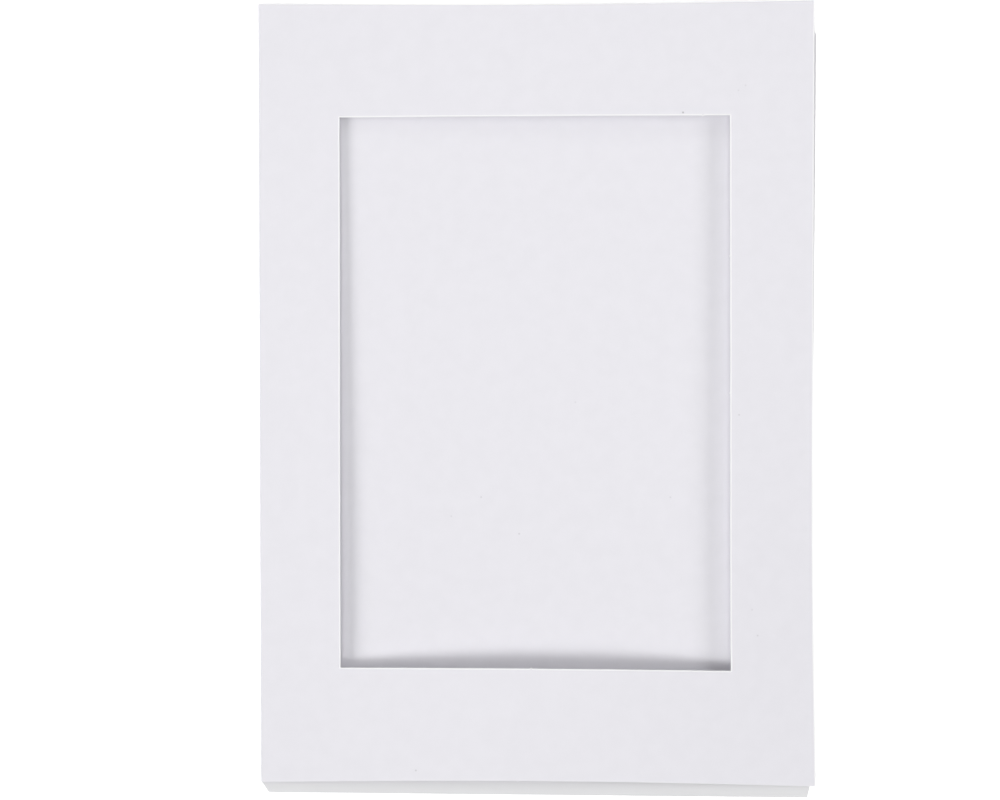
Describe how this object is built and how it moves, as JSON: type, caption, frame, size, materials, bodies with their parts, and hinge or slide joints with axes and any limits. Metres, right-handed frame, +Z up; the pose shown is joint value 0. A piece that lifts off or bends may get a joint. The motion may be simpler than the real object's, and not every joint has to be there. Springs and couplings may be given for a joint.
{
  "type": "folded cardboard picture mount",
  "caption": "Folded white card picture mount: a flat back panel and, joined to it along a side fold, a springy front panel with a rectangular window that frames a picture.",
  "frame": {"origin": "on the underside of the back panel, straight behind the middle of the window and of the front panel", "axes": "+X from the fold towards the free edges, +Y from the foot to the head, +Z up from the back panel through the window"},
  "size_m": [0.2123, 0.3026, 0.0098],
  "materials": {
    "white_card": "matte"
  },
  "bodies": {
    "root": {"folded_mount": "white_card"}
  },
  "joints": []
}
